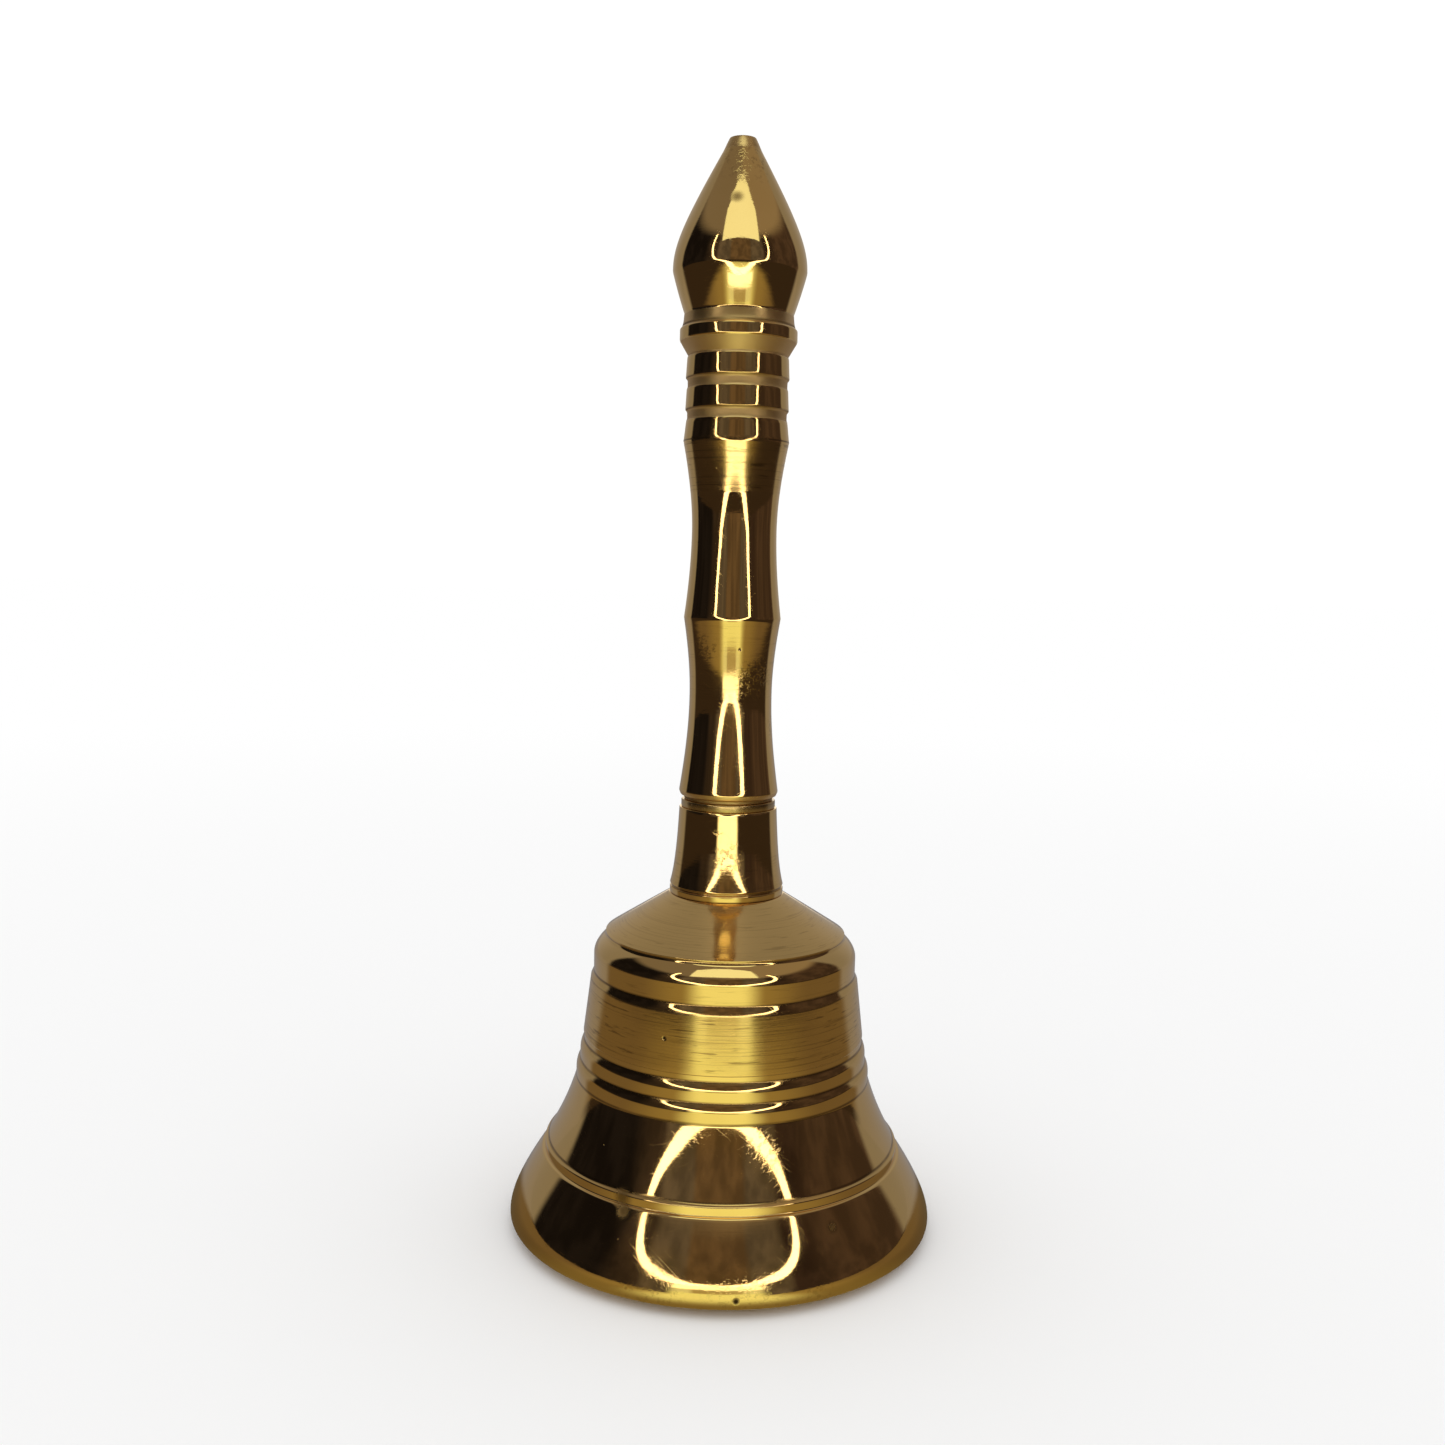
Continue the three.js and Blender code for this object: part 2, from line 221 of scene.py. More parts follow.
def hand_work(piece, name, size, depth):
    """The small unevenness that files and polishing wheels leave."""
    cloud = bpy.data.textures.new(name, "CLOUDS")
    cloud.noise_scale = size * MM
    cloud.noise_depth = 1
    modify(piece, "DISPLACE", texture=cloud, texture_coords="LOCAL", mid_level=0.5,
           strength=depth * MM)


def smooth(piece, angle=32.0):
    pick(piece)
    bpy.ops.object.shade_smooth_by_angle(angle=math.radians(angle))


# ------------------------------------------------------------------ building node trees

class Nodes:
    """Builds a node tree step by step; each step gives the socket that holds its result."""

    def __init__(self, tree):
        self.tree = tree

    def node(self, kind, **settings):
        made = self.tree.nodes.new(kind)
        for key, value in settings.items():
            setattr(made, key, value)
        return made

    def join(self, value, socket):
        if isinstance(value, bpy.types.NodeSocket):
            self.tree.links.new(value, socket)
        else:
            socket.default_value = value

    def feed(self, made, *values):
        """The values go to the node's inputs in order."""
        for socket, value in zip(made.inputs, values):
            self.join(value, socket)
        return made.outputs[0]

    def math(self, operation, first, second=0.0, third=0.0, clamp=False):
        made = self.node("ShaderNodeMath", operation=operation, use_clamp=clamp)
        return self.feed(made, first, second, third)

    def vector(self, operation, first, second=(0, 0, 0), scale=1.0):
        made = self.node("ShaderNodeVectorMath", operation=operation)
        self.join(first, made.inputs[0])
        if operation == "SCALE":
            self.join(scale, made.inputs["Scale"])
        elif operation != "LENGTH":
            self.join(second, made.inputs[1])
        return made.outputs["Value" if operation == "LENGTH" else "Vector"]

    def split(self, value):
        apart = self.node("ShaderNodeSeparateXYZ")
        self.join(value, apart.inputs[0])
        return apart.outputs

    def combine(self, x, y, z=0.0):
        return self.feed(self.node("ShaderNodeCombineXYZ"), x, y, z)

    def measure(self):
        """The place on the piece and its three parts, in millimetres."""
        place = self.node("ShaderNodeTexCoord").outputs["Object"]
        self.place = self.vector("SCALE", place, scale=1 / MM)
        self.across, self.deep, self.level = self.split(self.place)

    def from_axis(self):
        return self.vector("LENGTH", self.combine(self.across, self.deep))

    def noise(self, size, detail=2.0, roughness=0.5, at=None, shift=0.0):
        """Soft noise whose blobs are about size across."""
        made = self.node("ShaderNodeTexNoise")
        spot = self.place if at is None else at
        if shift:
            spot = self.vector("ADD", spot, (shift, shift, shift))
        self.join(spot, made.inputs["Vector"])
        made.inputs["Scale"].default_value = 1.0 / size
        made.inputs["Detail"].default_value = detail
        made.inputs["Roughness"].default_value = roughness
        return made.outputs[0]

    def ramp(self, value, low, high, to_low=0.0, to_high=1.0):
        made = self.node("ShaderNodeMapRange", interpolation_type="SMOOTHSTEP")
        return self.feed(made, value, low, high, to_low, to_high)

    def fade(self, value, low, high):
        """One up to low, and nothing from high on."""
        return self.ramp(value, low, high, 1.0, 0.0)

    def most(self, *values):
        result = values[0]
        for value in values[1:]:
            result = self.math("MAXIMUM", result, value)
        return result

    def weigh(self, start, *parts):
        """The start, and then each value times its weight."""
        result = start
        for value, weight in parts:
            result = self.math("MULTIPLY_ADD", value, weight, result)
        return result

    def mix(self, share, first, second):
        made = self.node("ShaderNodeMix", data_type="RGBA")
        self.join(share, made.inputs[0])
        self.join(first, made.inputs[6])
        self.join(second, made.inputs[7])
        return made.outputs[2]

    def mix_shaders(self, share, first, second):
        return self.feed(self.node("ShaderNodeMixShader"), share, first, second)


# ------------------------------------------------------------------ metal finishes

class Finish(Nodes):
    """A node material for one metal; lengths in it are millimetres on the piece."""

    def __init__(self, name):
        self.material = bpy.data.materials.new(name)
        self.material.use_nodes = True
        super().__init__(self.material.node_tree)
        self.shader = self.tree.nodes["Principled BSDF"]
        self.measure()
        # runs up a wall and in over a shoulder, so that a turning line stays a line
        self.path = self.math("SUBTRACT", self.level, self.from_axis())

    def band(self, low, high, edge=0.15):
        """One between two heights, and nothing elsewhere."""
        rise = self.ramp(self.level, low - edge, low + edge)
        return self.math("MULTIPLY", rise, self.fade(self.level, high - edge, high + edge))

    def near(self, level, reach):
        away = self.math("ABSOLUTE", self.math("SUBTRACT", self.level, level))
        return self.fade(away, 0.0, reach)

    def spot(self, centre, reach, edge=0.5):
        away = self.vector("LENGTH", self.vector("SUBTRACT", self.place, centre))
        return self.fade(away, reach * (1 - edge), reach * (1 + edge))

    def rings(self, pitch, reach, shift=0.0):
        """Fine lines round the piece, each fading in and out after about reach."""
        spot = self.combine(self.math("DIVIDE", self.across, reach),
                            self.math("DIVIDE", self.deep, reach),
                            self.math("DIVIDE", self.path, pitch))
        return self.noise(size=1.0, detail=3.0, roughness=0.6, at=spot, shift=shift)

    def pores(self, cell, reach, share):
        """Small casting pores: a few cells have one, at a random place and size."""
        made = self.node("ShaderNodeTexVoronoi", feature="F1")
        self.join(self.place, made.inputs["Vector"])
        made.inputs["Scale"].default_value = 1.0 / cell
        chance = self.node("ShaderNodeSeparateColor")
        self.join(made.outputs["Color"], chance.inputs[0])
        chosen = self.math("LESS_THAN", chance.outputs[0], share)
        wide = self.math("MULTIPLY", chance.outputs[1], reach / cell)
        return self.math("MULTIPLY", self.fade(made.outputs["Distance"], 0.0, wide), chosen)

    def scratches(self, turn, length, width, share):
        """Short straight hairlines lying one way."""
        lay = self.node("ShaderNodeMapping")
        lay.inputs["Rotation"].default_value = turn
        self.join(self.place, lay.inputs[0])
        lean = self.vector("MULTIPLY", lay.outputs[0], (1 / width, 1 / length, 1 / length))
        streak = self.noise(size=1.0, detail=1.0, at=lean)
        return self.ramp(streak, share, share + 0.05)

    def finish(self, colour, roughness, height):
        """Height is in millimetres: it becomes the bump."""
        self.shader.inputs["Metallic"].default_value = 1.0
        self.join(colour, self.shader.inputs["Base Color"])
        self.join(roughness, self.shader.inputs["Roughness"])
        bump = self.node("ShaderNodeBump")
        bump.inputs["Distance"].default_value = MM
        self.join(height, bump.inputs["Height"])
        self.join(bump.outputs[0], self.shader.inputs["Normal"])
        return self.material


BRIGHT_BRASS = (0.90, 0.585, 0.215, 1.0)
DEEP_BRASS = (0.80, 0.50, 0.165, 1.0)
MATT_BRASS = (0.70, 0.455, 0.22, 1.0)
CAST_BRASS = (0.62, 0.42, 0.17, 1.0)
PALE_CAST_BRASS = (0.70, 0.47, 0.19, 1.0)
AGED_BRASS = (0.30, 0.17, 0.07, 1.0)
TARNISH = (0.20, 0.105, 0.035, 1.0)
PORE_DARK = (0.05, 0.028, 0.012, 1.0)
ZINC = (0.56, 0.55, 0.53, 1.0)
DULL_ZINC = (0.40, 0.385, 0.36, 1.0)
RUST = (0.20, 0.085, 0.035, 1.0)

MIRROR_ROUGHNESS = 0.045
STEEL_ROUGHNESS = 0.27


def polished_brass(name, brushed=(), matted=(), soiled=(), worn=(), pits=(), dents=(),
                   ripple=1.0):
    """Mirror-polished turned brass.

    brushed: (low, high, strength) zones left with coarse turning lines.
    matted: (low, high, strength) hollows that the polishing wheel did not reach.
    soiled: (level, reach) grooves that hold tarnish.
    worn: (place, reach, strength) rough patches.
    pits: (place, reach) small holes.
    dents: (place, reach, depth) soft knocks.
    ripple: how much of the file's chatter is left under the polish.
    """
    f = Finish(name)
    fine = f.rings(pitch=0.22, reach=26.0)
    coarse = f.rings(pitch=0.55, reach=40.0, shift=7.3)
    dashes = f.rings(pitch=0.42, reach=5.0, shift=4.0)
    stains = f.rings(pitch=1.2, reach=9.0, shift=5.0)
    chatter = f.rings(pitch=0.9, reach=4.0, shift=9.0)
    dimples = f.noise(size=1.1, detail=2.0, roughness=0.6, shift=2.0)
    wave = f.noise(size=7.0, detail=1.0)
    cloud = f.noise(size=14.0, detail=3.0, roughness=0.6, shift=31.0)
    haze = f.ramp(f.noise(size=5.0, detail=4.0, roughness=0.7, shift=11.0), 0.45, 0.75)
    grain = f.ramp(f.noise(size=0.7, detail=3.0, roughness=0.7, shift=3.0), 0.50, 0.62)
    pore = f.pores(cell=2.6, reach=0.16, share=0.10)
    hair = f.most(f.scratches((0.3, 0.9, 0.2), length=5.0, width=0.10, share=0.70),
                  f.scratches((1.2, 0.1, 1.9), length=3.5, width=0.08, share=0.71))

    rubbed = f.most(0.0, *(f.math("MULTIPLY", f.band(low, high), strength)
                           for low, high, strength in brushed))
    matt = f.most(0.0, *(f.math("MULTIPLY", f.band(low, high, edge=0.1), strength)
                         for low, high, strength in matted))
    soil = f.most(0.0, *(f.near(level, reach) for level, reach in soiled))
    rough_patch = f.most(0.0, *(
        f.math("MULTIPLY", f.spot(place, reach, edge=0.6), f.math("MULTIPLY", grain, strength))
        for place, reach, strength in worn))
    flaw = f.most(pore, *(f.spot(place, reach) for place, reach in pits))
    hits = [(f.spot(place, reach, edge=0.8), depth) for place, reach, depth in dents]
    knock = f.most(0.0, *(hit for hit, depth in hits))

    # colour: bright metal, warmer where it has toned, dark in grooves and pores
    toned = f.math("MULTIPLY", f.ramp(cloud, 0.42, 0.68), 0.30)
    toned = f.most(toned, f.math("MULTIPLY", rubbed, 0.4))
    old = f.math("MULTIPLY", soil, f.ramp(stains, 0.25, 0.6, 0.30, 0.85))
    turning = f.most(f.ramp(fine, 0.55, 0.72, 0.0, 0.5), f.ramp(dashes, 0.58, 0.70, 0.0, 0.62))
    colour = f.mix(toned, BRIGHT_BRASS, DEEP_BRASS)
    colour = f.mix(f.math("MULTIPLY", matt, 0.7), colour, MATT_BRASS)
    for share in (old, f.math("MULTIPLY", rubbed, turning),
                  f.math("MULTIPLY", rough_patch, 0.6), f.math("MULTIPLY", knock, 0.8)):
        colour = f.mix(share, colour, TARNISH)
    colour = f.mix(flaw, colour, PORE_DARK)

    roughness = f.weigh(
        MIRROR_ROUGHNESS, (haze, 0.05), (rubbed, 0.085), (matt, 0.42), (old, 0.22),
        (hair, 0.09), (rough_patch, 0.12), (knock, 0.35), (flaw, 0.4))
    height = f.weigh(
        0.0,
        (fine, f.math("MULTIPLY_ADD", rubbed, 0.0030, 0.00045)),
        (coarse, f.math("MULTIPLY_ADD", rubbed, 0.0022, 0.0009)),
        (wave, 0.012), (dimples, 0.0016 * ripple), (chatter, 0.0026 * ripple),
        (hair, -0.0005), (rough_patch, -0.014), (flaw, -0.06),
        *((hit, -depth) for hit, depth in hits))
    return f.finish(colour, roughness, height)


def cast_brass(name, rough=0.34, line=0.004, bright=CAST_BRASS):
    """Dull brass as it left the casting and a rough turning."""
    f = Finish(name)
    fine = f.rings(pitch=0.35, reach=18.0)
    grain = f.noise(size=0.35, detail=4.0, roughness=0.7)
    cloud = f.noise(size=6.0, detail=4.0, roughness=0.65, shift=17.0)
    pore = f.pores(cell=1.3, reach=0.20, share=0.22)
    age = f.ramp(cloud, 0.40, 0.72)
    colour = f.mix(f.math("MULTIPLY", age, 0.7), bright, AGED_BRASS)
    colour = f.mix(f.math("MULTIPLY", f.ramp(fine, 0.55, 0.75), 0.4), colour, TARNISH)
    colour = f.mix(pore, colour, PORE_DARK)
    roughness = f.weigh(rough, (age, 0.18), (grain, 0.12), (pore, 0.3))
    height = f.weigh(0.0, (fine, line), (grain, 0.006), (cloud, 0.02), (pore, -0.08))
    return f.finish(colour, roughness, height)


def plain_steel(name):
    """Zinc-dulled steel of the bolt, nut, washer and link, a little rusted in places."""
    f = Finish(name)
    fine = f.rings(pitch=0.16, reach=7.0)
    grain = f.noise(size=0.5, detail=4.0, roughness=0.7)
    cloud = f.noise(size=3.2, detail=4.0, roughness=0.7, shift=23.0)
    bloom = f.ramp(f.noise(size=2.0, detail=3.0, shift=5.0), 0.4, 0.7, 0.0, 0.6)
    rust = f.math("MULTIPLY", f.ramp(cloud, 0.58, 0.74), f.ramp(grain, 0.40, 0.62))
    hair = f.scratches((0.5, 0.2, 0.7), length=2.0, width=0.06, share=0.66)
    colour = f.mix(rust, f.mix(bloom, ZINC, DULL_ZINC), RUST)
    roughness = f.weigh(STEEL_ROUGHNESS, (grain, 0.14), (rust, 0.35), (hair, 0.1))
    height = f.weigh(0.0, (fine, 0.002), (grain, 0.003), (rust, 0.012), (hair, -0.003))
    return f.finish(colour, roughness, height)


# ------------------------------------------------------------------ the cup

def extent(node):
    """A CAD node's lowest and highest level and its largest radius, in millimetres."""
    low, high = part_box(node)
    return low.z / MM, high.z / MM, max(high.x, -low.x) / MM


FOOT, CROWN, MOUTH = extent("bell_cup")
LIP_TOP = FOOT + 10.3
FLARE_TOP = FOOT + 20.75
BAND_FOOT = FOOT + 26.95
BAND_TOP = FOOT + 34.95
THROAT_TOP = CROWN - 8.75
SHOULDER = CROWN - 5.6
CEILING = CROWN - 3.0
STUD_HOLE = 2.7

# radii of the cup's outside, from its foot up
LINE_RADIUS = 25.1
FLARE_RADIUS = 20.85
MIDDLE_LINE_RADIUS = 20.32
UPPER_LINE_RADIUS = 19.79
BAND_RADIUS = 19.9
BAND_TOP_RADIUS = 18.95
THROAT_RADIUS = 18.55
BEAD_RADIUS = 17.0
SHOULDER_RADIUS = 16.95


def draw_cup():
    cup = Outline(MOUTH - 2.9, FOOT)
    cup.line(MOUTH - 1.6, FOOT).curve(MOUTH, FOOT + 0.2, MOUTH, FOOT + 1.2, steps=10)
    cup.curve(MOUTH, FOOT + 3.7, MOUTH - 4.45, LIP_TOP, steps=34)
    # raised line, then the hollow flare
    cup.line(LINE_RADIUS + 0.05, LIP_TOP + 0.12).line(LINE_RADIUS, LIP_TOP + 1.25)
    cup.line(LINE_RADIUS - 0.4, LIP_TOP + 1.5)
    cup.swell(FLARE_RADIUS, FLARE_TOP, offset=-0.3, steps=30)
    # two upright lines, each with a bead above it
    cup.line(FLARE_RADIUS, FLARE_TOP + 1.0)
    cup.swell(MIDDLE_LINE_RADIUS, FLARE_TOP + 2.65, offset=0.14, steps=8)
    cup.line(MIDDLE_LINE_RADIUS, FLARE_TOP + 3.65)
    cup.swell(UPPER_LINE_RADIUS, FLARE_TOP + 5.3, offset=0.14, steps=8)
    cup.line(UPPER_LINE_RADIUS, BAND_FOOT - 0.1).line(BAND_RADIUS, BAND_FOOT)
    # plain band, ledge, throat and shoulder bead
    cup.line(BAND_TOP_RADIUS, BAND_TOP)
    cup.line(THROAT_RADIUS, BAND_TOP + 0.85).line(THROAT_RADIUS, THROAT_TOP)
    cup.curve(THROAT_RADIUS, THROAT_TOP + 1.27, BEAD_RADIUS, THROAT_TOP + 2.55, steps=14)
    # a fine groove under the domed shoulder
    cup.line(SHOULDER_RADIUS - 0.09, SHOULDER - 0.25).line(SHOULDER_RADIUS, SHOULDER)
    cup.curve(15.7, SHOULDER + 0.85, 8.0, CROWN, steps=34)
    # crown hole, ceiling, inner dome and inner wall
    cup.line(STUD_HOLE, CROWN).line(STUD_HOLE, CEILING).line(6.6, CEILING)
    cup.curve(14.6, CEILING - 1.2, 16.15, BAND_TOP + 0.85, steps=16)
    cup.line(17.4, BAND_FOOT).line(18.45, FLARE_TOP)
    cup.swell(22.3, LIP_TOP + 1.5, offset=0.3, steps=14)
    cup.line(MOUTH - 2.8, FOOT + 1.2).line(MOUTH - 2.9, FOOT)
    return cup.soften(0.14).divide(0.55)


cup = turned("bell_cup_turned", draw_cup(), steps=200)
hand_work(cup, "cup_unevenness", size=9.0, depth=0.03)
cup.data.materials.append(polished_brass(
    "cup_polished_brass",
    brushed=((BAND_FOOT + 0.1, BAND_TOP, 1.0), (BAND_TOP + 0.9, THROAT_TOP + 0.4, 0.35),
             (SHOULDER + 0.2, CROWN, 0.5)),
    soiled=((LIP_TOP + 1.6, 0.25), (FLARE_TOP + 2.65, 0.3), (FLARE_TOP + 5.3, 0.3),
            (FLARE_TOP, 0.3), (BAND_TOP + 0.9, 0.3), (SHOULDER - 0.2, 0.15)),
    worn=(((3.5, -29.3, 0.0), 5.0, 0.3), ((-8.0, -28.3, 0.0), 4.0, 0.3),
          ((12.0, -26.5, 0.0), 3.0, 0.3), ((5.8, -21.4, 17.4), 2.6, 0.26),
          ((-2.6, -21.6, 18.6), 1.6, 0.12)),
    pits=(((-11.4, -27.2, 1.9), 0.35), ((2.4, -30.0, 1.7), 0.4), ((-7.6, -17.7, 31.2), 0.28)),
    dents=(((-12.6, -21.8, LIP_TOP + 0.9), 1.0, 0.10), ((-12.2, -22.6, LIP_TOP - 0.6), 0.8, 0.05),
           ((14.5, -22.2, 8.0), 0.7, 0.02)),
))
cup.data.materials.append(cast_brass(
    "cup_inside_brass", rough=0.28, line=0.006, bright=PALE_CAST_BRASS))
OUTSIDE, INSIDE = 0, 1
for face in cup.data.polygons:
    outward = Vector((face.center.x, face.center.y, 0)).normalized()
    inner_wall = face.normal.dot(outward) < -0.05
    inner_dome = face.normal.z < -0.4 and face.center.z > 10 * MM
    face.material_index = INSIDE if inner_wall or inner_dome else OUTSIDE
smooth(cup)
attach(cup, "bell")
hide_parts("bell_cup")


# ------------------------------------------------------------------ collar and washer

COLLAR_FOOT, COLLAR_TOP, COLLAR_RADIUS = extent("neck_collar")


def draw_collar():
    ring_top = COLLAR_FOOT + 0.9
    seam_radius = COLLAR_RADIUS - 0.25
    collar = Outline(STUD_HOLE, COLLAR_FOOT).line(COLLAR_RADIUS, COLLAR_FOOT)
    collar.line(COLLAR_RADIUS, ring_top).line(seam_radius, ring_top + 0.05)
    collar.line(seam_radius, ring_top + 0.35).line(COLLAR_RADIUS, ring_top + 0.4)
    collar.curve(COLLAR_RADIUS - 0.8, ring_top + 3.2,
                 COLLAR_RADIUS - 1.15, COLLAR_TOP, steps=28)
    collar.line(STUD_HOLE, COLLAR_TOP).line(STUD_HOLE, COLLAR_FOOT)
    return collar.soften(0.12).divide(0.5)


collar = turned("neck_collar_turned", draw_collar(), steps=144)
hand_work(collar, "collar_unevenness", size=5.0, depth=0.03)
collar.data.materials.append(polished_brass(
    "collar_polished_brass",
    soiled=((COLLAR_FOOT, 0.3), (COLLAR_FOOT + 1.1, 0.3)),
    brushed=((COLLAR_FOOT + 1.4, COLLAR_FOOT + 6.5, 0.35),),
    worn=(((0.2, -7.3, 53.2), 1.8, 0.5), ((-1.6, -7.3, 56.3), 0.9, 0.4)),
    ripple=1.6,
))
smooth(collar)
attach(collar, "bell")
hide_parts("neck_collar")


def draw_washer(node, bore):
    low, high, radius = extent(node)
    ring = Outline(bore, low).line(radius, low).line(radius, high)
    return ring.line(bore, high).line(bore, low).soften(0.2).divide(0.5)


washer = turned("handle_washer_turned", draw_washer("handle_washer", STUD_HOLE), steps=120)
washer.data.materials.append(cast_brass("washer_dull_brass", rough=0.12, line=0.001))
smooth(washer)
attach(washer, "bell")
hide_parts("handle_washer")


# ------------------------------------------------------------------ handle

HANDLE_FOOT, HANDLE_TIP, BUD_RADIUS = extent("handle")
RIDGE = HANDLE_FOOT + 25.4
GRIP_TOP = HANDLE_FOOT + 49.45
COLLARET_FOOT = HANDLE_TIP - 26.9
COLLARET_TOP = COLLARET_FOOT + 1.7
BUD_BASE = HANDLE_TIP - 23.2
BUD_WIDEST = HANDLE_TIP - 17.6
THREAD_HOLE = 2.65
RINGS, RING_PITCH = 3, 4.25

# radii of the handle's outside, from its foot up
BEVEL_RADIUS = 6.95
LOWER_WAIST = 5.74
RIDGE_RADIUS = 6.75
UPPER_WAIST = 5.88
GRIP_TOP_RADIUS = 7.28
RING_RADIUS = 6.98
HOLLOW_RADIUS = 6.82
COLLARET_RADIUS = 8.05


def eased_slope(rounding, slope, distance):
    """Nothing at the middle, then rising towards a straight slope."""
    return math.hypot(rounding, slope * distance) - rounding


def waist(narrow, middle, foot, top, foot_radius, top_radius, rounding=3.0):
    """Narrowest at the level middle, and wider towards its foot and its top."""

    def radius_at(level):
        below = level < middle
        gain = (foot_radius if below else top_radius) - narrow + rounding
        span = middle - foot if below else top - middle
        slope = math.sqrt(gain ** 2 - rounding ** 2) / span
        return narrow + eased_slope(rounding, slope, level - middle)

    return radius_at


def bud_swell(level):
    """Undercut quickly below the bud's edge, and a little steeper towards its base."""
    drop = max(0.0, BUD_WIDEST - level)
    return BUD_RADIUS - eased_slope(0.03, 0.26, drop) - 0.008 * drop ** 2


def bud_cone(level):
    return BUD_RADIUS - eased_slope(3.2, 0.59, max(0.0, level - BUD_WIDEST - 0.3))


def draw_handle():
    bevel_top = HANDLE_FOOT + 1.2
    hole_end = HANDLE_FOOT + 14.0
    foot_recess = 6.2
    lower_middle = (bevel_top + RIDGE) / 2 + 1.5
    upper_middle = (RIDGE + GRIP_TOP) / 2
    handle = Outline(0, hole_end).line(THREAD_HOLE, hole_end).line(THREAD_HOLE, HANDLE_FOOT)
    handle.line(foot_recess, HANDLE_FOOT).line(foot_recess, HANDLE_FOOT + 0.5)
    handle.line(6.7, HANDLE_FOOT + 0.6).line(BEVEL_RADIUS, bevel_top)
    lower = waist(LOWER_WAIST, lower_middle, bevel_top, RIDGE, BEVEL_RADIUS, RIDGE_RADIUS)
    upper = waist(UPPER_WAIST, upper_middle, RIDGE, GRIP_TOP, RIDGE_RADIUS, GRIP_TOP_RADIUS)
    handle.trace(lower, RIDGE, steps=60).trace(upper, GRIP_TOP, steps=60)
    # tapered rings, with a hollow above each that opens out to the next
    for i in range(RINGS):
        ring_top = GRIP_TOP + i * RING_PITCH + 2.7
        handle.line(RING_RADIUS, ring_top).line(HOLLOW_RADIUS, ring_top + 0.3)
        if i < RINGS - 1:
            handle.line(HOLLOW_RADIUS + 0.02, ring_top + 1.25).line(7.12, ring_top + 1.55)
    # collaret on its long flank, groove and bud
    handle.line(7.0, COLLARET_FOOT - 1.6).line(COLLARET_RADIUS - 0.2, COLLARET_FOOT - 0.15)
    handle.line(COLLARET_RADIUS, COLLARET_FOOT + 0.15)
    handle.line(COLLARET_RADIUS, COLLARET_TOP - 0.15).line(COLLARET_RADIUS - 0.1, COLLARET_TOP)
    handle.curve(7.55, COLLARET_TOP + 0.2, bud_swell(BUD_BASE), BUD_BASE, steps=10)
    handle.trace(bud_swell, BUD_WIDEST, steps=26)
    handle.trace(bud_cone, HANDLE_TIP - 1.6, steps=34)
    tip = handle.points[-1].x
    handle.curve(tip - 0.68, HANDLE_TIP - 0.1, 1.8, HANDLE_TIP - 0.03, steps=10)
    return handle.line(0, HANDLE_TIP).soften(0.16).divide(0.5)


handle = turned("grip_handle_turned", draw_handle(), steps=160)
hand_work(handle, "handle_unevenness", size=6.0, depth=0.022)
handle.data.materials.append(polished_brass(
    "handle_polished_brass",
    brushed=((RIDGE - 11.0, RIDGE - 0.4, 0.30), (GRIP_TOP - 7.0, GRIP_TOP - 0.3, 0.9)),
    matted=((GRIP_TOP + 2.75, GRIP_TOP + 4.2, 1.0), (GRIP_TOP + 7.0, GRIP_TOP + 8.45, 1.0),
            (GRIP_TOP + 11.25, COLLARET_FOOT, 1.0),
            (COLLARET_TOP, BUD_BASE - 0.15, 0.7), (HANDLE_TIP - 1.7, HANDLE_TIP, 0.5),
            (HANDLE_FOOT, HANDLE_FOOT + 1.2, 0.8)),
    soiled=((COLLARET_TOP + 0.3, 0.35), (GRIP_TOP, 0.2), (GRIP_TOP + 4.2, 0.2),
            (GRIP_TOP + 8.45, 0.2), (HANDLE_FOOT + 0.3, 0.35)),
    worn=(((3.6, -5.0, 77.5), 2.4, 1.0), ((0.8, -3.4, HANDLE_TIP - 3.6), 3.2, 0.6),
          ((6.4, -1.0, 70.5), 2.0, 0.7), ((-3.2, -5.0, 82.0), 1.6, 0.5)),
    pits=(((1.4, -4.2, 146.4), 0.3), ((0.3, -3.9, 147.3), 0.25), ((1.2, -6.2, 81.6), 0.22)),
    dents=(((-0.6, -6.9, 141.0), 0.75, 0.012),),
    ripple=1.5,
))
smooth(handle)
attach(handle, "bell")
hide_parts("handle")


# ------------------------------------------------------------------ eye bolt, nut, washer

NUT_FOOT, NUT_TOP, NUT_CORNER = extent("crown_nut")
WASHER_FOOT, WASHER_TOP, WASHER_RADIUS = extent("crown_washer")
BOLT_FOOT, BOLT_TOP, EYE_OUTER = extent("eye_bolt")
EYE_LEVEL = BOLT_FOOT + EYE_OUTER
EYE_WIRE = 1.2
EYE_RING = EYE_OUTER - EYE_WIRE
STUD_FOOT = NUT_FOOT - 1.5
STUD = 2.5


def draw_stud():
    """Threaded up to the nut and plain above it."""
    thread_pitch = 0.6
    thread_root = STUD - 0.4
    level = STUD_FOOT + 0.25
    stud = Outline(0, STUD_FOOT).line(STUD - 0.6, STUD_FOOT).line(STUD - 0.35, level)
    while level < NUT_FOOT + 0.3:
        stud.line(STUD, level + 0.2).line(STUD, level + 0.3).line(thread_root, level + 0.55)
        level += thread_pitch
    stud.line(STUD, level + 0.3).line(STUD, BOLT_TOP - 0.6)
    return stud.line(STUD - 0.6, BOLT_TOP).line(0, BOLT_TOP).soften(0.06).divide(1.2)


bolt = turned("eye_bolt_threaded", draw_stud(), steps=72)
join_solid(bolt, bent_wire("eye", EYE_RING, EYE_WIRE, EYE_LEVEL, AXIS_DEEP))
steel = plain_steel("zinc_dulled_steel")
bolt.data.materials.clear()
bolt.data.materials.append(steel)
smooth(bolt, angle=40)
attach(bolt, "bell")
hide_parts("eye_bolt")


